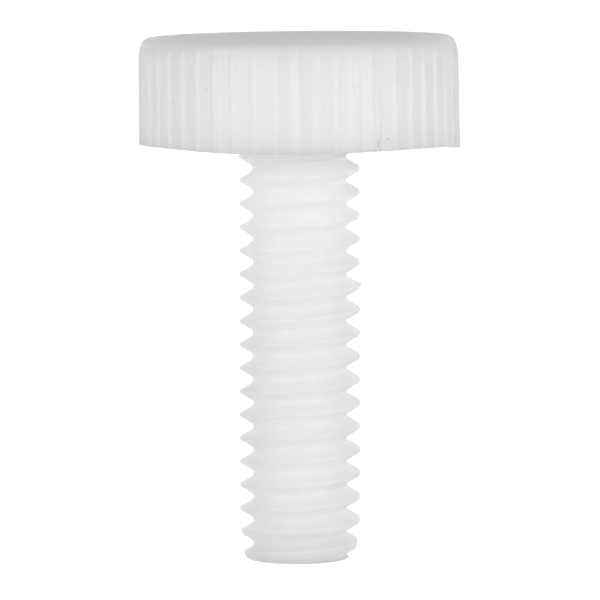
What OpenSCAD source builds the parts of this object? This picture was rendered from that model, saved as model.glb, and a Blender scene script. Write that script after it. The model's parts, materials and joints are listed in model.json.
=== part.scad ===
// Moulded thumb screw: a low ribbed head on a threaded shank, one piece of nylon.
// It is built upright on its axis and then laid down as it rests on a table:
// on two ribs of the head's lower rim and on the thread near the tip.
// Lengths are in millimetres and angles in degrees.

/* [Thread] */
// Diameter over the thread's crests
thread_d = 4.04; // [3.9:0.01:4.4]
// Advance of the thread in one turn, 32 to the inch
thread_pitch = 0.794; // [0.75:0.001:0.9]
// Depth of the groove, from crest to root
thread_depth = 0.45; // [0.3:0.01:0.47]
// Flat left on top of each crest
crest_w = 0.1; // [0.06:0.01:0.16]
// Turn at which a crest meets the head's underside, from +X
thread_start = -18; // [-180:1:180]

/* [Shank] */
// Length from the head's underside to the flat end
shank_l = 13.95; // [8:0.05:20]
// Length of the tapered lead-in at the tip
tip_l = 1.2; // [0.8:0.05:2]
// Diameter of the lead-in where it meets the end's rounding
tip_d = 3.78; // [3.6:0.02:3.88]
// Radius round the edge of the flat end
end_round = 0.16; // [0.08:0.01:0.25]
// Radius of the fillet between the thread's root and the head
neck_fillet = 0.12; // [0.05:0.01:0.2]

/* [Head] */
// Diameter over the ribs at the underside, the widest place
head_d = 10.75; // [9:0.05:13]
// Height of the head
head_h = 3.6; // [2.5:0.05:5]
// Draft of the head's side, which lets the part leave its mould
head_draft = 0.65; // [0:0.05:2]
// Radius round the top edge
head_round = 0.3; // [0.15:0.05:0.6]

/* [Ribs] */
// Number of grip ribs round the head, an even number
rib_count = 48; // [36:2:60]
// Height of a rib over the smooth side
rib_h = 0.08; // [0.04:0.01:0.14]
// Width of a rib at its top
rib_w = 0.1; // [0.06:0.01:0.16]
// Slope of a rib's flanks, from the radial direction
rib_flank = 42; // [20:1:55]
// Length over which a rib dies away under the top edge
rib_run_out = 0.12; // [0.05:0.01:0.3]

/* [Smoothness] */
// Sections of the thread's groove in one turn
groove_steps = 32; // [24:4:48]

/* [Hidden] */
$fn = 96;

nylon = "#e9e9e7";
nudge = 0.04;           // how far a cutter reaches past the surface that it opens
fine_step = 0.005;      // spacing of the places at which the thread's reach is compared

crest_r = thread_d / 2;
root_r = crest_r - thread_depth;
flank_angle = 30;       // half of the thread's 60 degree section
root_w = thread_pitch - crest_w - 2 * thread_depth * tan(flank_angle);
mouth_r = crest_r + nudge;
mouth_w = root_w + 2 * (mouth_r - root_r) * tan(flank_angle);

side_slope = tan(head_draft);
rim_r = head_d / 2;                             // over the ribs, at the underside
base_r = rim_r - rib_h;                         // smooth side, at the underside
round_z = head_h - head_round;                  // where the top edge's rounding starts
round_r = base_r - side_slope * round_z;        // smooth side at that height

// Angle of the floor side, about the axis, before the screw is laid down
floor_turn = 90;
// Distance from the underside to the first crest that faces the floor
crest_turn = (thread_start - floor_turn) / 360;
first_crest = thread_pitch * (crest_turn - floor(crest_turn));
end_edge_r = tip_d / 2 - end_round;             // flat end, inside its rounding
neck_foot = 30;         // the fillet's arc stops this far short of running along the root

// Radius of the thread's section on the floor side, at a distance below the underside
function thread_r(s) =
    let (turns = (s - first_crest) / thread_pitch, off = abs(turns - round(turns)) * thread_pitch)
    crest_r - min(thread_depth, max(0, off - crest_w / 2) / tan(flank_angle));
// Radius that the lead-in and the end's rounding leave at that distance
function lead_in_r(s) =
    s < shank_l - tip_l ? crest_r
    : s < shank_l - end_round
        ? lookup(s, [[shank_l - tip_l, crest_r], [shank_l - end_round, tip_d / 2]])
        : end_edge_r + sqrt(max(0, end_round ^ 2 - (s - shank_l + end_round) ^ 2));

// The two lowest ribs straddle the floor side, so the rim stands on their inner corners
low_rib_turn = 180 / rib_count - atan(rib_w / 2 / rim_r);
rest_r = rim_r * cos(low_rib_turn);
// The axis falls from the head to the tip at the slope that brings the tip's lowest place
// down to the floor on which the rim stands
lie_slope = min([for (s = [shank_l - 2 * thread_pitch : fine_step : shank_l])
    (rest_r - min(thread_r(s), lead_in_r(s))) / s]);
lie_angle = atan(lie_slope);
lie_lift = rest_r * cos(lie_angle);
// Ends of the lying screw along Y, from the crossing of its axis and the underside
head_reach = (round_r - head_round) * sin(lie_angle) + round_z * cos(lie_angle) + head_round;
tip_reach = end_edge_r * sin(lie_angle) + (shank_l - end_round) * cos(lie_angle) + end_round;

// Corners of the groove's section at an angle, from root to mouth
function groove_section(turn) =
    let (z = thread_pitch * ((turn - thread_start) / 360 - 0.5))
    [
        for (corner = [[root_r, -root_w / 2], [mouth_r, -mouth_w / 2],
                       [mouth_r, mouth_w / 2], [root_r, root_w / 2]])
            [corner[0] * cos(turn), corner[0] * sin(turn), z + corner[1]]
    ];

// Solid of the helical groove, long enough to run out past both ends of the shank
module thread_groove() {
    step = 360 / groove_steps;
    turns_down = ceil(shank_l / thread_pitch + 1);
    turns_up = 2;
    turn_first = -360 * turns_down;
    sections = (turns_down + turns_up) * groove_steps;
    corners = 4;
    points = [for (i = [0:sections]) each groove_section(turn_first + i * step)];
    sides = [
        for (i = [0:sections - 1], j = [0:corners - 1])
            let (a = i * corners + j, b = i * corners + (j + 1) % corners)
            each [[a, b, b + corners], [a, b + corners, a + corners]]
    ];
    first_end = [for (j = [corners - 1:-1:0]) j];
    last_end = [for (j = [0:corners - 1]) sections * corners + j];
    polyhedron(points, concat([first_end], sides, [last_end]), convexity = 10);
}

// Half section of the shank before its thread is cut, with the lead-in and the rounded end
module shank_section() {
    polygon([
        [0, nudge],
        [0, -shank_l],
        [end_edge_r, -shank_l],
        [tip_d / 2, end_round - shank_l],
        [crest_r, tip_l - shank_l],
        [crest_r, nudge]
    ]);
    translate([end_edge_r, end_round - shank_l])
        circle(r = end_round, $fn = 32);
}

// Concave fillet that joins the thread's root to the head's underside
module neck_section() {
    neck_r = root_r + neck_fillet * cos(neck_foot);
    difference() {
        translate([0, -neck_fillet])
            square([neck_r, neck_fillet + nudge]);
        translate([neck_r, -neck_fillet])
            circle(r = neck_fillet, $fn = 32);
    }
}

// Half section of the smooth head, with its draft and rounded top edge
module head_section() {
    polygon([
        [0, 0],
        [base_r, 0],
        [round_r, round_z],
        [round_r - head_round, head_h],
        [0, head_h]
    ]);
    translate([round_r - head_round, round_z])
        circle(r = head_round, $fn = 48);
}

// Half section of what the ribs may fill: drafted as the head, and running out under its edge
module rib_limit_section() {
    polygon([
        [0, 0],
        [rim_r, 0],
        [round_r + rib_h + side_slope * rib_run_out, round_z - rib_run_out],
        [round_r, round_z],
        [0, round_z]
    ]);
}

// Outline of all the ribs, seen along the axis, with their feet inside the smooth head
module rib_outline() {
    foot_r = round_r - head_round / 2;
    top_half = atan(rib_w / 2 / rim_r);
    foot_half = atan((rib_w / 2 + (rim_r - foot_r) * tan(rib_flank)) / foot_r);
    pace = 360 / rib_count;
    polygon([
        for (i = [0:rib_count - 1])
            let (middle = floor_turn + (i + 0.5) * pace)
            each [
                foot_r * [cos(middle - foot_half), sin(middle - foot_half)],
                rim_r * [cos(middle - top_half), sin(middle - top_half)] / cos(top_half),
                rim_r * [cos(middle + top_half), sin(middle + top_half)] / cos(top_half),
                foot_r * [cos(middle + foot_half), sin(middle + foot_half)]
            ]
    ]);
}

// The screw upright on its axis, with the head's underside at height 0
module upright_screw() {
    difference() {
        rotate_extrude()
            shank_section();
        thread_groove();
    }
    rotate_extrude()
        neck_section();
    rotate_extrude()
        head_section();
    intersection() {
        linear_extrude(height = round_z)
            rib_outline();
        rotate_extrude()
            rib_limit_section();
    }
}

// The whole screw as it lies on a table, its head towards +Y
module thumb_screw() {
    color(nylon)
        translate([0, (tip_reach - head_reach) / 2, lie_lift])
            rotate([lie_angle - 90, 0, 0])
                upright_screw();
}

thumb_screw();
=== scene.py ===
# %% [markdown]
# # A moulded nylon thumb screw
# The object is one piece: a low ribbed head on a threaded shank, moulded from natural nylon.
# This lesson makes its two forms, the shank and the head, each from one rule. It joins them into
# one closed skin, gives that skin the small faults of a cheap moulding, and then lights it softly
# enough that white plastic still shows its form on a white ground.

import json
import math

import bpy
import numpy as np
from mathutils import Matrix, Vector


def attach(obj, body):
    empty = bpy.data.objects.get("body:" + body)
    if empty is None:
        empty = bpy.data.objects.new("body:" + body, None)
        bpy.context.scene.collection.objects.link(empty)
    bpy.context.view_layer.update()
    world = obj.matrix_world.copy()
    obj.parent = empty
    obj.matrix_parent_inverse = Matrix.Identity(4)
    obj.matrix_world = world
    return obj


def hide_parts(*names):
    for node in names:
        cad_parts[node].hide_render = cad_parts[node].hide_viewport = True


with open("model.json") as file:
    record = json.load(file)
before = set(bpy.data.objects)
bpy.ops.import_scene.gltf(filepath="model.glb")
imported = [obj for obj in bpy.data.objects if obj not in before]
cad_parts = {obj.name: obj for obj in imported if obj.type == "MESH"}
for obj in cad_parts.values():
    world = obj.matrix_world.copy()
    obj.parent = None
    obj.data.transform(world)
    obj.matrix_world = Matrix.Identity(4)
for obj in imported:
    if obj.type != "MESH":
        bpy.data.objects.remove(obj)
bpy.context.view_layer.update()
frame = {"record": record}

# %% [markdown]
# The screw lies on its side, so everything is easier to think about in a frame of its own:
# millimetres, with the origin where the axis meets the head's underside, Z towards the head and
# -Y towards the sky. The record of the solid model states where the thread's middle is and which
# way it points, and that is all it takes to get from this frame to the shared one.

# %% The screw's own frame
MM = 0.001  # one millimetre in the shared frame, which is in metres
SHANK = 13.95  # underside of the head to the flat tip, mm
THREAD = next(m for m in frame["record"]["mounts"] if m["name"] == "thread")
UP_AXIS = -Vector(THREAD["axis"]).normalized()
FLOOR_SIDE = UP_AXIS.cross(Vector((1, 0, 0))).normalized()
UNDERSIDE = Vector(THREAD["pos_m"]) + UP_AXIS * (SHANK / 2 * MM)

TURN = Matrix((Vector((1, 0, 0)), FLOOR_SIDE, UP_AXIS)).transposed().to_4x4()
TO_TABLE = Matrix.Translation(UNDERSIDE) @ TURN @ Matrix.Scale(MM, 4)
print("the axis leans", round(math.degrees(math.asin(UP_AXIS.z)), 2), "degrees from the table")


def around(azimuth, distance, height):
    """A place in the shared frame, from degrees round the axis and millimetres.

    The azimuth is 0 on the side that faces the sky, and positive to the right in the photo.
    """
    a = math.radians(azimuth - 90)
    return TO_TABLE @ Vector((distance * math.cos(a), distance * math.sin(a), height))


# %% [markdown]
# One small function adds a node with its settings and its inputs. An input may be a plain value,
# another node (its first output is used) or one particular output.

# %% Helpers for nodes and colours
def add(tree, kind, feeds=None, **settings):
    node = tree.nodes.new(kind)
    for name, value in settings.items():
        setattr(node, name, value)
    for key, value in (feeds or {}).items():
        if isinstance(value, bpy.types.Node):
            value = value.outputs[0]
        if isinstance(value, bpy.types.NodeSocket):
            tree.links.new(value, node.inputs[key])
        else:
            node.inputs[key].default_value = value
    return node


def linear(code):
    """sRGB hex to linear RGBA."""
    parts = [int(code[i : i + 2], 16) / 255 for i in (1, 3, 5)]
    return [c / 12.92 if c <= 0.04045 else ((c + 0.055) / 1.055) ** 2.4 for c in parts] + [1.0]


def new_tree(name, sizes):
    """An empty geometry tree whose inputs are named sizes."""
    tree = bpy.data.node_groups.new(name, "GeometryNodeTree")
    tree.interface.new_socket("Geometry", in_out="INPUT", socket_type="NodeSocketGeometry")
    for label, value in sizes.items():
        kind = "NodeSocketInt" if isinstance(value, int) else "NodeSocketFloat"
        socket = tree.interface.new_socket(label, in_out="INPUT", socket_type=kind)
        socket.default_value = value
    tree.interface.new_socket("Geometry", in_out="OUTPUT", socket_type="NodeSocketGeometry")
    return tree, tree.nodes.new("NodeGroupInput"), tree.nodes.new("NodeGroupOutput")


# %% [markdown]
# ## The threaded shank
# On the real screw the thread is moulded, with its crests and roots a little rounded. It could be
# a profile swept along a helix, but then both its ends need closing. Here the skin is a plain
# grid instead, wrapped round the axis, and each point's radius follows from one rule: how far it
# is from the nearest crest. The rows climb by one pitch in a turn, so they run along the crests
# and keep them crisp, and past either end they close in on the axis.

# %% Sizes of the shank, in millimetres and radians
MERGE = 0.0004  # points nearer to each other than this become one, mm
shank_sizes = {
    "Pitch": 0.789,
    "Crest radius": 2.036,
    "Thread depth": 0.46,
    "Crest flat": 0.097,
    "Crest rounding": 0.075,
    "Root rounding": 0.147,
    "Flank tangent": math.tan(math.radians(30)),
    "Start turn": math.radians(10),
    "Length": SHANK,
    "Lead-in length": 1.2,
    "Lead-in radius": 2.02,
    "Tip radius": 1.87,
    "End rounding": 0.16,
    "Lead-in blend": 0.03,
    "Neck fillet": 0.12,
    "Neck blend": 0.02,
    "Neck zone": -1.0,  # the fillet may fill the groove above this height
    "Reach into head": 0.5,
    "Closing length": 0.25,
    "Rows per turn": 24,
    "Columns": 120,
}
print("turns of the thread:", round(SHANK / shank_sizes["Pitch"], 1))

# %% A grid with enough rows for the whole path
tree, size, out = new_tree("threaded shank", shank_sizes)
S = size.outputs
row_step = add(tree, "ShaderNodeMath", {0: S["Pitch"], 1: S["Rows per turn"]}, operation="DIVIDE")
arc_start = add(
    tree, "ShaderNodeMath", {0: S["End rounding"], 1: S["Length"]}, operation="SUBTRACT"
)
arc_length = add(
    tree, "ShaderNodeMath", {0: S["End rounding"], 1: math.pi / 2}, operation="MULTIPLY"
)
arc_end = add(tree, "ShaderNodeMath", {0: arc_start, 1: arc_length}, operation="SUBTRACT")
path_low = add(tree, "ShaderNodeMath", {0: arc_end, 1: S["Closing length"]}, operation="SUBTRACT")
path_first = add(tree, "ShaderNodeMath", {0: path_low, 1: S["Pitch"]}, operation="SUBTRACT")
path_high = add(
    tree, "ShaderNodeMath", {0: S["Reach into head"], 1: S["Closing length"]}, operation="ADD"
)
path_span = add(tree, "ShaderNodeMath", {0: path_high, 1: path_first}, operation="SUBTRACT")
row_share = add(tree, "ShaderNodeMath", {0: path_span, 1: row_step}, operation="DIVIDE")
row_count = add(tree, "ShaderNodeMath", {0: row_share}, operation="CEIL")
row_points = add(tree, "ShaderNodeMath", {0: row_count, 1: 1.0}, operation="ADD")
column_points = add(tree, "ShaderNodeMath", {0: S["Columns"], 1: 1.0}, operation="ADD")
grid = add(
    tree,
    "GeometryNodeMeshGrid",
    {"Size X": 1.0, "Size Y": 1.0, "Vertices X": row_points, "Vertices Y": column_points},
)

# %% Each point's turn round the axis and its place on the path along the skin
place = add(tree, "GeometryNodeInputPosition")
part = add(tree, "ShaderNodeSeparateXYZ", {0: place})
along = add(tree, "ShaderNodeMath", {0: part.outputs["X"], 1: 0.5}, operation="ADD")
share = add(tree, "ShaderNodeMath", {0: part.outputs["Y"], 1: 0.5}, operation="ADD")
turn = add(tree, "ShaderNodeMath", {0: share, 1: math.tau}, operation="MULTIPLY")
climb = add(
    tree, "ShaderNodeMath", {0: share, 1: S["Pitch"], 2: path_first}, operation="MULTIPLY_ADD"
)
row_path = add(tree, "ShaderNodeMath", {0: row_count, 1: row_step}, operation="MULTIPLY")
path = add(tree, "ShaderNodeMath", {0: along, 1: row_path, 2: climb}, operation="MULTIPLY_ADD")

# %% Round the end's edge
# The angle grows from 0 on the shank to 90 degrees on the flat end
below = add(tree, "ShaderNodeMath", {0: arc_start, 1: path}, operation="SUBTRACT")
bend_raw = add(tree, "ShaderNodeMath", {0: below, 1: S["End rounding"]}, operation="DIVIDE")
bend = add(tree, "ShaderNodeClamp", {"Value": bend_raw, "Min": 0.0, "Max": math.pi / 2})
bend_sine = add(tree, "ShaderNodeMath", {0: bend}, operation="SINE")
bend_drop = add(tree, "ShaderNodeMath", {0: bend_sine, 1: S["End rounding"]}, operation="MULTIPLY")
bend_cosine = add(tree, "ShaderNodeMath", {0: bend}, operation="COSINE")
bend_left = add(tree, "ShaderNodeMath", {0: 1.0, 1: bend_cosine}, operation="SUBTRACT")
bend_in = add(tree, "ShaderNodeMath", {0: bend_left, 1: S["End rounding"]}, operation="MULTIPLY")
straight = add(tree, "ShaderNodeMath", {0: path, 1: arc_start}, operation="MAXIMUM")
lowered = add(tree, "ShaderNodeMath", {0: straight, 1: bend_drop}, operation="SUBTRACT")
height = add(tree, "ShaderNodeMath", {0: lowered, 1: S["Reach into head"]}, operation="MINIMUM")

# %% Close both ends on the axis
past_low = add(tree, "ShaderNodeMath", {0: arc_end, 1: path}, operation="SUBTRACT")
past_high = add(tree, "ShaderNodeMath", {0: path, 1: S["Reach into head"]}, operation="SUBTRACT")
past = add(tree, "ShaderNodeMath", {0: past_low, 1: past_high}, operation="MAXIMUM")
closing = add(
    tree,
    "ShaderNodeMapRange",
    {"Value": past, "From Min": 0.0, "From Max": S["Closing length"], "To Min": 1.0, "To Max": 0.0},
)

# %% Distance from the nearest crest, and the depth that the thread has there
height_turns = add(tree, "ShaderNodeMath", {0: height, 1: S["Pitch"]}, operation="DIVIDE")
from_start = add(tree, "ShaderNodeMath", {0: turn, 1: S["Start turn"]}, operation="SUBTRACT")
turn_share = add(tree, "ShaderNodeMath", {0: from_start, 1: math.tau}, operation="DIVIDE")
phase = add(tree, "ShaderNodeMath", {0: height_turns, 1: turn_share}, operation="SUBTRACT")
nearest = add(tree, "ShaderNodeMath", {0: phase}, operation="ROUND")
off_turns = add(tree, "ShaderNodeMath", {0: phase, 1: nearest}, operation="SUBTRACT")
off_size = add(tree, "ShaderNodeMath", {0: off_turns}, operation="ABSOLUTE")
off = add(tree, "ShaderNodeMath", {0: off_size, 1: S["Pitch"]}, operation="MULTIPLY")
half_flat = add(tree, "ShaderNodeMath", {0: S["Crest flat"], 1: 0.5}, operation="MULTIPLY")
off_flank = add(tree, "ShaderNodeMath", {0: off, 1: half_flat}, operation="SUBTRACT")
flank = add(tree, "ShaderNodeMath", {0: off_flank, 1: S["Flank tangent"]}, operation="DIVIDE")
crested = add(
    tree, "ShaderNodeMath", {0: flank, 1: 0.0, 2: S["Crest rounding"]}, operation="SMOOTH_MAX"
)
cut = add(
    tree,
    "ShaderNodeMath",
    {0: crested, 1: S["Thread depth"], 2: S["Root rounding"]},
    operation="SMOOTH_MIN",
)
thread_radius = add(tree, "ShaderNodeMath", {0: S["Crest radius"], 1: cut}, operation="SUBTRACT")

# %% The lead-in and the rounded end limit the thread's radius
lead_end = add(
    tree, "ShaderNodeMath", {0: S["Lead-in length"], 1: S["Length"]}, operation="SUBTRACT"
)
lead = add(
    tree,
    "ShaderNodeMapRange",
    {
        "Value": height,
        "From Min": arc_start,
        "From Max": lead_end,
        "To Min": S["Tip radius"],
        "To Max": S["Lead-in radius"],
    },
)
limit = add(tree, "ShaderNodeMath", {0: lead, 1: bend_in}, operation="SUBTRACT")
limited = add(
    tree,
    "ShaderNodeMath",
    {0: thread_radius, 1: limit, 2: S["Lead-in blend"]},
    operation="SMOOTH_MIN",
)

# %% The fillet at the neck fills the groove up, next to the head only
root = add(
    tree, "ShaderNodeMath", {0: S["Crest radius"], 1: S["Thread depth"]}, operation="SUBTRACT"
)
in_neck_raw = add(tree, "ShaderNodeMath", {0: height, 1: S["Neck fillet"]}, operation="ADD")
in_neck = add(
    tree, "ShaderNodeClamp", {"Value": in_neck_raw, "Min": 0.0, "Max": S["Neck fillet"]}
)
neck_square = add(tree, "ShaderNodeMath", {0: S["Neck fillet"], 1: 2.0}, operation="POWER")
in_neck_square = add(tree, "ShaderNodeMath", {0: in_neck, 1: 2.0}, operation="POWER")
neck_rest = add(tree, "ShaderNodeMath", {0: neck_square, 1: in_neck_square}, operation="SUBTRACT")
neck_root = add(tree, "ShaderNodeMath", {0: neck_rest}, operation="SQRT")
neck_out = add(tree, "ShaderNodeMath", {0: S["Neck fillet"], 1: neck_root}, operation="SUBTRACT")
neck_radius = add(tree, "ShaderNodeMath", {0: root, 1: neck_out}, operation="ADD")
filled = add(
    tree,
    "ShaderNodeMath",
    {0: limited, 1: neck_radius, 2: S["Neck blend"]},
    operation="SMOOTH_MAX",
)
near_head = add(tree, "ShaderNodeMath", {0: height, 1: S["Neck zone"]}, operation="GREATER_THAN")
shaped = add(
    tree, "ShaderNodeMix", {"Factor": near_head, "A": limited, "B": filled}, data_type="FLOAT"
)
radius = add(tree, "ShaderNodeMath", {0: shaped, 1: closing}, operation="MULTIPLY")

# %% Wrap the grid round the axis
turn_cosine = add(tree, "ShaderNodeMath", {0: turn}, operation="COSINE")
turn_sine = add(tree, "ShaderNodeMath", {0: turn}, operation="SINE")
to_x = add(tree, "ShaderNodeMath", {0: radius, 1: turn_cosine}, operation="MULTIPLY")
to_y = add(tree, "ShaderNodeMath", {0: radius, 1: turn_sine}, operation="MULTIPLY")
wrapped = add(tree, "ShaderNodeCombineXYZ", {"X": to_x, "Y": to_y, "Z": height})
moved = add(tree, "GeometryNodeSetPosition", {"Geometry": grid, "Position": wrapped})
sealed = add(tree, "GeometryNodeMergeByDistance", {"Geometry": moved, "Distance": MERGE})
tree.links.new(sealed.outputs[0], out.inputs[0])
shank_tree = tree
print("nodes in the shank's tree:", len(tree.nodes))

# %% [markdown]
# ## The ribbed head
# The head is a turned form with 48 straight ribs, which give the fingers a grip. Its half section
# is drawn once as a row of points, from the middle of the underside round the rim to the middle of
# the top. The tree spins that row round the axis and pushes the skin out where a rib stands.

# %% Half section of the head, in millimetres
RIBS = 48
RIM = 5.295  # radius of the smooth side at the underside
DRAFT = math.tan(math.radians(0.65))  # the side leans in, so that the head leaves its mould
HEAD = 3.598  # height
EDGE = 0.3  # radius round the top edge
CORNER = 0.02  # radius at the lower rim

top_r = RIM - DRAFT * (HEAD - EDGE)
section = [(r, 0.0) for r in (0.0, 1.4, 1.9, 2.4, 3.2, 4.0, 4.7, 5.1, 5.2)]
section += [
    (RIM - CORNER + CORNER * math.sin(a), CORNER - CORNER * math.cos(a))
    for a in np.linspace(0, math.pi / 2, 4)
]
section += [(RIM - DRAFT * z, z) for z in np.linspace(0.08, HEAD - EDGE, 22)]
section += [
    (top_r - EDGE + EDGE * math.cos(a), HEAD - EDGE + EDGE * math.sin(a))
    for a in np.linspace(0, math.pi / 2, 11)[1:]
]
section += [(r, HEAD) for r in (4.8, 4.4, 3.8, 3.0, 2.0, 1.0, 0.0)]
section_mesh = bpy.data.meshes.new("head section")
section_mesh.from_pydata([(r, 0, z) for r, z in section], [], [])
section_object = bpy.data.objects.new("head section", section_mesh)
bpy.context.scene.collection.objects.link(section_object)
print("points in the head's section:", len(section))

# %% Sizes of the head, in millimetres and radians
# The screw lies on two ribs, so the lowest place of the rim is half a rib's pace from a rib
head_sizes = {
    "Rows": len(section),
    "Ribs": RIBS,
    "Columns per rib": 16,
    "Middle of first rib": math.radians(90 + 360 / RIBS / 2),
    "Rib height": 0.08,
    "Half width at top": 0.05,
    "Flank width": 0.072,
    "Side radius": RIM,
    "Side from": 5.15,
    "Side to": 5.25,
    "Run-out start": 2.95,
    "Run-out end": 3.5,
}
print("a rib every", round(math.tau * RIM / RIBS, 2), "mm")

# %% A grid whose rows take their places from the half section
tree, size, out = new_tree("ribbed head", head_sizes)
S = size.outputs
section_in = add(tree, "GeometryNodeObjectInfo", {"Object": section_object})
columns = add(tree, "ShaderNodeMath", {0: S["Ribs"], 1: S["Columns per rib"]}, operation="MULTIPLY")
column_points = add(tree, "ShaderNodeMath", {0: columns, 1: 1.0}, operation="ADD")
grid = add(
    tree,
    "GeometryNodeMeshGrid",
    {"Size X": 1.0, "Size Y": 1.0, "Vertices X": S["Rows"], "Vertices Y": column_points},
)
place = add(tree, "GeometryNodeInputPosition")
part = add(tree, "ShaderNodeSeparateXYZ", {0: place})
last_row = add(tree, "ShaderNodeMath", {0: S["Rows"], 1: 1.0}, operation="SUBTRACT")
along = add(tree, "ShaderNodeMath", {0: part.outputs["X"], 1: 0.5}, operation="ADD")
row_raw = add(tree, "ShaderNodeMath", {0: along, 1: last_row}, operation="MULTIPLY")
row = add(tree, "ShaderNodeMath", {0: row_raw}, operation="ROUND")
share = add(tree, "ShaderNodeMath", {0: part.outputs["Y"], 1: 0.5}, operation="ADD")
turn = add(tree, "ShaderNodeMath", {0: share, 1: math.tau}, operation="MULTIPLY")
point = add(
    tree,
    "GeometryNodeSampleIndex",
    {"Geometry": section_in.outputs["Geometry"], "Value": place, "Index": row},
    data_type="FLOAT_VECTOR",
    domain="POINT",
)
point_part = add(tree, "ShaderNodeSeparateXYZ", {0: point})

# %% How far round the side a point is from the middle of the nearest rib
rib_from = add(tree, "ShaderNodeMath", {0: turn, 1: S["Middle of first rib"]}, operation="SUBTRACT")
rib_turn = add(tree, "ShaderNodeMath", {0: math.tau, 1: S["Ribs"]}, operation="DIVIDE")
rib_phase = add(tree, "ShaderNodeMath", {0: rib_from, 1: rib_turn}, operation="DIVIDE")
rib_nearest = add(tree, "ShaderNodeMath", {0: rib_phase}, operation="ROUND")
rib_off = add(tree, "ShaderNodeMath", {0: rib_phase, 1: rib_nearest}, operation="SUBTRACT")
rib_off_size = add(tree, "ShaderNodeMath", {0: rib_off}, operation="ABSOLUTE")
rib_angle = add(tree, "ShaderNodeMath", {0: rib_off_size, 1: rib_turn}, operation="MULTIPLY")
rib_aside = add(tree, "ShaderNodeMath", {0: rib_angle, 1: S["Side radius"]}, operation="MULTIPLY")
rib_foot = add(
    tree, "ShaderNodeMath", {0: S["Half width at top"], 1: S["Flank width"]}, operation="ADD"
)
rib_shape = add(
    tree,
    "ShaderNodeMapRange",
    {
        "Value": rib_aside,
        "From Min": S["Half width at top"],
        "From Max": rib_foot,
        "To Min": 1.0,
        "To Max": 0.0,
    },
    interpolation_type="SMOOTHSTEP",
)

# %% A rib stands only on the side
# It dies away under the top edge, and there is none on the underside
run_out = add(
    tree,
    "ShaderNodeMapRange",
    {
        "Value": point_part.outputs["Z"],
        "From Min": S["Run-out start"],
        "From Max": S["Run-out end"],
        "To Min": 1.0,
        "To Max": 0.0,
    },
    interpolation_type="SMOOTHSTEP",
)
on_side = add(
    tree,
    "ShaderNodeMapRange",
    {"Value": point_part.outputs["X"], "From Min": S["Side from"], "From Max": S["Side to"]},
)
rib_here = add(tree, "ShaderNodeMath", {0: run_out, 1: on_side}, operation="MULTIPLY")
rib_size = add(tree, "ShaderNodeMath", {0: rib_shape, 1: S["Rib height"]}, operation="MULTIPLY")
rib_out = add(tree, "ShaderNodeMath", {0: rib_size, 1: rib_here}, operation="MULTIPLY")
radius = add(tree, "ShaderNodeMath", {0: point_part.outputs["X"], 1: rib_out}, operation="ADD")

# %% Spin the rows round the axis
turn_cosine = add(tree, "ShaderNodeMath", {0: turn}, operation="COSINE")
turn_sine = add(tree, "ShaderNodeMath", {0: turn}, operation="SINE")
to_x = add(tree, "ShaderNodeMath", {0: radius, 1: turn_cosine}, operation="MULTIPLY")
to_y = add(tree, "ShaderNodeMath", {0: radius, 1: turn_sine}, operation="MULTIPLY")
wrapped = add(tree, "ShaderNodeCombineXYZ", {"X": to_x, "Y": to_y, "Z": point_part.outputs["Z"]})
moved = add(tree, "GeometryNodeSetPosition", {"Geometry": grid, "Position": wrapped})
sealed = add(tree, "GeometryNodeMergeByDistance", {"Geometry": moved, "Distance": MERGE})
tree.links.new(sealed.outputs[0], out.inputs[0])
head_tree = tree
print("nodes in the head's tree:", len(tree.nodes))

# %% [markdown]
# ## One skin
# The shank reaches half a millimetre into the head. A third tree joins the two closed skins by a
# boolean union, so that what comes out is one watertight surface, as the moulding has, and nothing
# is left inside it. The manifold solver is quicker, but it left these two skins apart, each closed
# on its own. The exact solver joins them, and every face then points outwards.

# %% Join shank and head
tree, size, out = new_tree("thumb screw", {})
shank_part = add(tree, "GeometryNodeGroup", node_tree=shank_tree)
head_part = add(tree, "GeometryNodeGroup", node_tree=head_tree)
union = add(tree, "GeometryNodeMeshBoolean", operation="UNION", solver="EXACT")
tree.links.new(shank_part.outputs[0], union.inputs["Mesh 2"])
tree.links.new(head_part.outputs[0], union.inputs["Mesh 2"])
whole = add(tree, "GeometryNodeRealizeInstances", {"Geometry": union})
natural_nylon = bpy.data.materials.new("natural nylon, moulded")
coated = add(tree, "GeometryNodeSetMaterial", {"Geometry": whole, "Material": natural_nylon})
tree.links.new(coated.outputs[0], out.inputs[0])

# %% Make the joined skin a plain mesh
seed = bpy.data.objects.new("seed", bpy.data.meshes.new("seed"))
bpy.context.scene.collection.objects.link(seed)
modifier = seed.modifiers.new("thumb screw", "NODES")
modifier.node_group = tree
depsgraph = bpy.context.evaluated_depsgraph_get()
skin = bpy.data.meshes.new_from_object(seed.evaluated_get(depsgraph), depsgraph=depsgraph)
seed.modifiers.remove(modifier)
bpy.data.objects.remove(seed)
bpy.data.objects.remove(section_object)
skin.name = "moulded thumb screw"
print("skin:", len(skin.vertices), "points,", len(skin.polygons), "faces")
print("materials on the skin:", [m.name for m in skin.materials])

# %% [markdown]
# ## Small faults of the moulding
# The real head leans about half a degree to the left, its lower rim is slightly warped and hangs
# down at the right in a lip of flash, and one thread crest has a burr. All of that is a small move
# of points, so it is done on the finished skin, in the screw's own millimetres.

# %% Where each point is, seen from the camera
CAMERA_TURN = 2.4  # the camera stands this far round towards -X, degrees

count = len(skin.vertices)
points = np.empty(3 * count)
skin.vertices.foreach_get("co", points)
points = points.reshape(-1, 3)
azimuth = np.degrees(np.arctan2(points[:, 1], points[:, 0])) + 90 + CAMERA_TURN
azimuth = (azimuth + 180) % 360 - 180
away = np.hypot(points[:, 0], points[:, 1])
print("widest place of the skin:", round(float(away.max()), 3), "mm from the axis")

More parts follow.
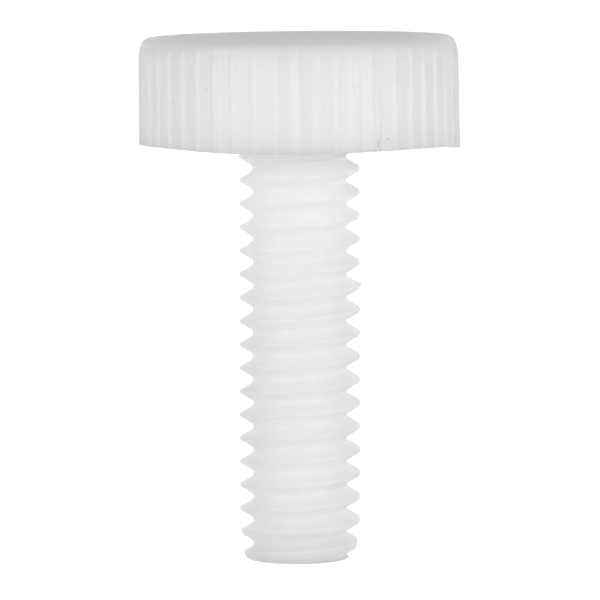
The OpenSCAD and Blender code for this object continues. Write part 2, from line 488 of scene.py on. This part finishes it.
# %% Warp of the lower rim
# Azimuth from the camera in degrees, and how far the rim hangs down there in millimetres
WARP = [
    (-180, 0.0),
    (-95, 0.02),
    (-82, -0.01),
    (-60, -0.035),
    (-45, -0.01),
    (-30, 0.03),
    (-22, 0.05),
    (0, 0.04),
    (18, 0.02),
    (25, -0.01),
    (45, -0.035),
    (60, -0.03),
    (72, 0.01),
    (80, 0.08),
    (88, 0.11),
    (100, 0.02),
    (180, 0.0),
]
WARP_INSIDE, WARP_OUTSIDE = 4.2, 5.2  # it grows from nothing to all of it between these radii
WARP_HIGH = 0.6  # and it has died away at this height
BELOW_HEAD = -0.02  # points lower than this are the shank's, and stay

warp_at, warp_by = zip(*WARP)
hang = np.interp(azimuth, warp_at, warp_by)
near_rim = np.clip((away - WARP_INSIDE) / (WARP_OUTSIDE - WARP_INSIDE), 0, 1)
near_rim *= np.clip(1 - points[:, 2] / WARP_HIGH, 0, 1) * (points[:, 2] > BELOW_HEAD)
points[:, 2] -= hang * near_rim * near_rim
print("largest move of the rim, mm:", round(float(np.abs(hang * near_rim).max()), 3))

# %% Burr on one crest, at the right
BURR_TURN, BURR_HIGH = math.radians(-2.4), -4.74  # its middle, from +X, and its height in mm
BURR_RADIUS = 2.0  # radius that turns its angle into millimetres
BURR_LONG, BURR_TALL = 0.10, 0.045  # half length along the crest and half height, mm
BURR_FROM, BURR_TO = 1.9, 2.2  # only the crest moves, between these radii
BURR_OUT, BURR_UP = 0.085, 0.09  # how far it is pushed, mm

off_turn = np.arctan2(points[:, 1], points[:, 0]) - BURR_TURN
reach = np.exp(-((off_turn * BURR_RADIUS / BURR_LONG) ** 2))
reach *= np.exp(-(((points[:, 2] - BURR_HIGH) / BURR_TALL) ** 2))
reach *= (away > BURR_FROM) * (away < BURR_TO)
points[:, 0] += BURR_OUT * reach
points[:, 2] += BURR_UP * reach
print("points in the burr:", int((reach > 0.1).sum()))

# %% Lean of the head, more at its top than at its underside
SHEAR = math.radians(0.62)  # how far the head's side leans to the left, seen by the camera
TILT = math.radians(0.5)  # how far its top face slopes down to the left

rise = np.clip(points[:, 2], 0, HEAD)
points[:, 2] += TILT * points[:, 0] * rise / HEAD
points[:, 0] -= SHEAR * rise
skin.vertices.foreach_set("co", points.ravel())
skin.transform(TO_TABLE)
for face in skin.polygons:
    face.use_smooth = True
skin.update()
print("the top moves to the left by", round(SHEAR * HEAD, 3), "mm")

# %% The piece rides on the part's one body
screw = bpy.data.objects.new("moulded_thumb_screw", skin)
bpy.context.scene.collection.objects.link(screw)
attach(screw, "root")
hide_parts("thumb_screw")

# %% [markdown]
# ## Natural nylon
# Nylon moulded without pigment is milky: light goes some millimetres into it and comes out again
# elsewhere, so the thread hardly shades itself and the body looks evenly bright. Subsurface
# scattering gives most of that. A faint light of the surface's own stands for the light that has
# bounced about inside for longer. The index of refraction is 1.53, and the moulded surface is half
# matt, a little less so on the shank than on the head. The head's side has pale upright streaks
# along its ribs and a white grain. Both could be painted on a map, but here they are noise on the
# side laid out flat, in millimetres.

# %% The surface's own coordinates
natural_nylon.use_nodes = True
tree = natural_nylon.node_tree
tree.nodes.clear()
coords = add(tree, "ShaderNodeTexCoord")
own_place = add(
    tree,
    "ShaderNodeMapping",
    {
        "Vector": coords.outputs["Object"],
        "Location": UNDERSIDE,
        "Rotation": TURN.to_euler(),
        "Scale": (MM, MM, MM),
    },
    vector_type="TEXTURE",
)
own = add(tree, "ShaderNodeSeparateXYZ", {0: own_place})
front = add(tree, "ShaderNodeMath", {0: own.outputs["Y"], 1: -1.0}, operation="MULTIPLY")
round_axis = add(tree, "ShaderNodeMath", {0: own.outputs["X"], 1: front}, operation="ARCTAN2")
round_side = add(tree, "ShaderNodeMath", {0: round_axis, 1: RIM}, operation="MULTIPLY")
high = own.outputs["Z"]
side_place = add(tree, "ShaderNodeCombineXYZ", {"X": round_side, "Z": high})

# %% Only the head's side has the streaks and the grain
SIDE_FROM, SIDE_TO = 5.0, 5.2  # distances from the axis between which they set in, mm

x_square = add(tree, "ShaderNodeMath", {0: own.outputs["X"], 1: 2.0}, operation="POWER")
y_square = add(tree, "ShaderNodeMath", {0: own.outputs["Y"], 1: 2.0}, operation="POWER")
square_sum = add(tree, "ShaderNodeMath", {0: x_square, 1: y_square}, operation="ADD")
from_axis = add(tree, "ShaderNodeMath", {0: square_sum}, operation="SQRT")
on_rim = add(
    tree, "ShaderNodeMapRange", {"Value": from_axis, "From Min": SIDE_FROM, "From Max": SIDE_TO}
)

# %% Streaks, grain and patches
STREAKS = 6.0  # a streak every sixth of a millimetre
GRAIN = 7.0  # grains of a seventh of a millimetre
PATCHES = 0.9  # patches of grain about a millimetre wide
STRETCH = 0.03  # heights are shrunk to this, which draws streaks and patches out upright
STREAK_SHARE, GRAIN_SHARE = 0.55, 0.8  # how much of the pale colour each brings

slow_high = add(tree, "ShaderNodeMath", {0: high, 1: STRETCH}, operation="MULTIPLY")
streak_place = add(tree, "ShaderNodeCombineXYZ", {"X": round_side, "Z": slow_high})
streaks = add(
    tree,
    "ShaderNodeTexNoise",
    {"Vector": streak_place, "Scale": STREAKS, "Detail": 3.0, "Roughness": 0.7},
)
grain = add(
    tree,
    "ShaderNodeTexNoise",
    {"Vector": side_place, "Scale": GRAIN, "Detail": 2.0, "Roughness": 0.6},
)
patches = add(
    tree, "ShaderNodeTexNoise", {"Vector": streak_place, "Scale": PATCHES, "Detail": 1.0}
)
fleck = add(tree, "ShaderNodeMapRange", {"Value": grain, "From Min": 0.52, "From Max": 0.68})
patch = add(tree, "ShaderNodeMapRange", {"Value": patches, "From Min": 0.45, "From Max": 0.6})
flecks = add(tree, "ShaderNodeMath", {0: fleck, 1: patch}, operation="MULTIPLY")
lines = add(
    tree,
    "ShaderNodeMapRange",
    {"Value": streaks, "From Min": 0.3, "From Max": 0.75, "To Max": STREAK_SHARE},
)
both_marks = add(
    tree, "ShaderNodeMath", {0: flecks, 1: GRAIN_SHARE, 2: lines}, operation="MULTIPLY_ADD"
)
side_marks = add(tree, "ShaderNodeMath", {0: both_marks, 1: on_rim}, operation="MULTIPLY")
body = add(
    tree,
    "ShaderNodeMix",
    {"Factor": side_marks, "A": linear("#ebebea"), "B": linear("#ffffff")},
    data_type="RGBA",
)

# %% Specks of dirt, and the painted shade of a nick in the rim
# Azimuth from the side that faces the sky in degrees, height in mm, and half width and half height
# in mm. The side is laid out flat at the rim's radius, so on the shank a width is a third of that.
# The sixth, seventh and eighth together are the nick, whose dent is not modelled: its shade is
# painted.
# In the nick this dark grey is painted shade; in the other specks it is dirt.
SPECK_AND_NICK_SHADE_SHARE = 0.32  # how much of the dirt's colour a speck has at its middle
SPECKS = [
    (-37.4, 2.02, 0.05, 0.04),
    (-53.8, 1.56, 0.04, 0.05),
    (17.1, 2.16, 0.04, 0.03),
    (22.6, 1.68, 0.04, 0.03),
    (30.8, 0.42, 0.06, 0.05),
    (26.0, 0.25, 0.045, 0.16),
    (27.2, 0.43, 0.03, 0.10),
    (25.1, 0.05, 0.07, 0.05),
    (35.7, -1.12, 0.10, 0.03),
    (33.3, -2.80, 0.10, 0.03),
    (-40.0, -3.94, 0.11, 0.04),
    (-45.1, -4.11, 0.11, 0.04),
    (-23.6, -4.83, 0.09, 0.03),
    (-2.9, -6.82, 0.08, 0.03),
    (-46.4, -7.25, 0.10, 0.03),
    (21.1, -7.77, 0.08, 0.03),
    (13.2, -11.06, 0.10, 0.03),
    (5.6, -11.27, 0.08, 0.03),
    (-31.9, -10.68, 0.09, 0.03),
    (-24.7, -12.70, 0.09, 0.03),
]

# %% Draw the specks, soft at their edges
specks_and_nick_shade = None
for turned, up_by, half_wide, half_tall in SPECKS:
    centre = (math.radians(turned) * RIM, 0, up_by)
    aside = add(
        tree, "ShaderNodeVectorMath", {0: side_place, 1: centre}, operation="SUBTRACT"
    )
    spread = add(
        tree,
        "ShaderNodeVectorMath",
        {0: aside, 1: (1 / half_wide, 1, 1 / half_tall)},
        operation="MULTIPLY",
    )
    off_centre = add(tree, "ShaderNodeVectorMath", {0: spread}, operation="LENGTH")
    spot = add(
        tree,
        "ShaderNodeMapRange",
        {
            "Value": off_centre.outputs["Value"],
            "From Min": 0.4,
            "From Max": 1.2,
            "To Min": 1.0,
            "To Max": 0.0,
        },
    )
    specks_and_nick_shade = spot if specks_and_nick_shade is None else add(
        tree, "ShaderNodeMath", {0: specks_and_nick_shade, 1: spot}, operation="MAXIMUM"
    )
speck_and_nick_shade_share = add(tree, "ShaderNodeMath", {0: specks_and_nick_shade, 1: SPECK_AND_NICK_SHADE_SHARE}, operation="MULTIPLY")
# The grey of dirt in the specks, and painted shade in the nick
coloured = add(
    tree,
    "ShaderNodeMix",
    {"Factor": speck_and_nick_shade_share, "A": body.outputs["Result"], "B": linear("#8a8986")},
    data_type="RGBA",
)
print("specks:", len(SPECKS))

# %% The milky, half matt surface
HEAD_ROUGHNESS, SHANK_ROUGHNESS = 0.5, 0.42
SHANK_TOP = -0.05  # the shank's finish starts this far under the head, mm

on_shank = add(tree, "ShaderNodeMath", {0: high, 1: SHANK_TOP}, operation="LESS_THAN")
roughness = add(
    tree,
    "ShaderNodeMapRange",
    {"Value": on_shank, "To Min": HEAD_ROUGHNESS, "To Max": SHANK_ROUGHNESS},
)
surface = add(
    tree,
    "ShaderNodeBsdfPrincipled",
    {
        "Base Color": coloured.outputs["Result"],
        "Roughness": roughness,
        "IOR": 1.53,
        "Subsurface Weight": 1.0,
        "Subsurface Radius": (1.0, 0.99, 0.97),
        "Subsurface Scale": 3 * MM,
        "Emission Color": coloured.outputs["Result"],
        "Emission Strength": 0.17,
    },
)
add(tree, "ShaderNodeOutputMaterial", {"Surface": surface})
print("nodes in the nylon:", len(tree.nodes))

# %% [markdown]
# ## Ground and light
# The photograph is a cut-out on pure white, with no shadow to be seen. So the floor and the sky are
# white only for rays that show a background. To all other rays the floor is plain grey paper and
# the sky is dim, and the lamps draw the form. The screw does shade the floor, but there too the
# glow and the light that is left add up to white, so no shadow shows.

# %% Which rays see the background
def background_rays(tree):
    """1 for rays that show the background: straight to the camera, mirrored, or through glass."""
    rays = add(tree, "ShaderNodeLightPath").outputs
    direct = add(
        tree,
        "ShaderNodeMath",
        {0: rays["Is Camera Ray"], 1: rays["Is Glossy Ray"]},
        operation="MAXIMUM",
    )
    return add(
        tree, "ShaderNodeMath", {0: direct, 1: rays["Is Transmission Ray"]}, operation="MAXIMUM"
    )


# %% Floor of white paper
REACH = 2  # the floor goes this far to each side, in metres
PAPER_GLOW = 0.95  # a little under white, and the light that falls on the paper adds the rest

corners = [(-REACH, -REACH, 0), (REACH, -REACH, 0), (REACH, REACH, 0), (-REACH, REACH, 0)]
floor_mesh = bpy.data.meshes.new("floor")
floor_mesh.from_pydata(corners, [], [(0, 1, 2, 3)])
floor = bpy.data.objects.new("floor", floor_mesh)
bpy.context.scene.collection.objects.link(floor)
paper = bpy.data.materials.new("white paper")
paper.use_nodes = True
tree = paper.node_tree
tree.nodes.clear()
seen = background_rays(tree)
matt = add(tree, "ShaderNodeBsdfDiffuse", {"Color": linear("#bebebe")})
glow = add(tree, "ShaderNodeEmission", {"Color": (1, 1, 1, 1), "Strength": PAPER_GLOW})
both = add(tree, "ShaderNodeAddShader", {0: matt, 1: glow})
mixed = add(tree, "ShaderNodeMixShader", {0: seen, 1: matt, 2: both})
add(tree, "ShaderNodeOutputMaterial", {"Surface": mixed})
floor_mesh.materials.append(paper)
print("floor:", 2 * REACH, "m wide")

# %% Sky
SKY_LIGHT = 0.06  # how strongly the sky lights the screw, where 1 is white

world = bpy.data.worlds.new("studio")
bpy.context.scene.world = world
world.use_nodes = True
tree = world.node_tree
tree.nodes.clear()
seen = background_rays(tree)
strength = add(tree, "ShaderNodeMapRange", {"Value": seen, "To Min": SKY_LIGHT, "To Max": 1.0})
sky = add(tree, "ShaderNodeBackground", {"Color": (1, 1, 1, 1), "Strength": strength})
add(tree, "ShaderNodeOutputWorld", {"Surface": sky})
print("light from the sky:", SKY_LIGHT)

# %% [markdown]
# Two tall soft boxes stand left and right of the camera. They make the flat light of the front and
# the faint bands in the thread's roots. Two weak ones at the sides lift the edges, one from below
# lifts the underside of the crests, and one from above the rounded edge of the head.

# %% Lamps
MIDDLE = Vector((0, 0, -4))  # what they all face, in the screw's own millimetres


def lamp(name, azimuth, distance, height, width, tall, power):
    """A soft box: its place in degrees and mm, its size in metres and its power in watts."""
    light = bpy.data.lights.new(name, "AREA")
    light.shape = "RECTANGLE"
    light.size, light.size_y, light.energy = width, tall, power
    box = bpy.data.objects.new(name, light)
    box.location = around(azimuth, distance, height)
    aim = TO_TABLE @ MIDDLE
    box.rotation_euler = (box.location - aim).to_track_quat("Z", "Y").to_euler()
    bpy.context.scene.collection.objects.link(box)
    print(name, "is", round((box.location - aim).length / MM), "mm away")


lamp("left soft box", -47, 90, 6, 0.05, 0.07, 0.036)
lamp("right soft box", 43, 90, 6, 0.05, 0.07, 0.039)
lamp("left side box", -88, 200, 0, 0.08, 0.1, 0.03)
lamp("right side box", 88, 200, 0, 0.08, 0.1, 0.03)
lamp("low box", 0, 80, -84, 0.06, 0.06, 0.008)
lamp("high box", 0, 170, 96, 0.12, 0.05, 0.006)

# %% [markdown]
# ## Camera
# The photo was taken with a long lens from a little above the head: the top face is seen as a thin
# sliver, and the lower rim hides its own underside. Here the screw lies on its side, so the camera
# looks down on it from above the table, with the head at the top of the frame.

# %% Where the camera looks
FRAME = 600  # the photo's width, pixels
FOCAL = 5084.0  # focal length in those pixels
SENSOR = 36.0  # width of the camera's sensor, mm
DISTANCE, CAMERA_HEIGHT = 169.8, 9.99  # from the axis, and above the underside of the head, mm
YAW, PITCH, ROLL = 0.003, 5.126, -0.115  # degrees
t, yaw, pitch, roll = (math.radians(a) for a in (CAMERA_TURN, YAW, PITCH, ROLL))
ahead = Vector((math.sin(t), math.cos(t), 0))
right = Vector((math.cos(t), -math.sin(t), 0))
up = Vector((0, 0, 1))
look = ahead * math.cos(yaw) + right * math.sin(yaw)
side = right * math.cos(yaw) - ahead * math.sin(yaw)
aim = look * math.cos(pitch) - up * math.sin(pitch)
over = up * math.cos(pitch) + look * math.sin(pitch)
side_rolled = side * math.cos(roll) + over * math.sin(roll)
over_rolled = over * math.cos(roll) - side * math.sin(roll)
stand = Matrix((side_rolled, over_rolled, -aim)).transposed().to_4x4()
station = Matrix.Translation(around(-CAMERA_TURN, DISTANCE, CAMERA_HEIGHT))

# %% Camera
lens = bpy.data.cameras.new("camera")
lens.sensor_width, lens.lens = SENSOR, FOCAL / FRAME * SENSOR
lens.clip_start, lens.clip_end = 0.01, 10.0
camera = bpy.data.objects.new("camera", lens)
camera.matrix_world = station @ (TURN @ stand)
bpy.context.scene.collection.objects.link(camera)
bpy.context.scene.camera = camera
print("lens:", round(lens.lens, 1), "mm")

# %% Finish
scene = bpy.context.scene
scene.view_settings.view_transform = "Standard"
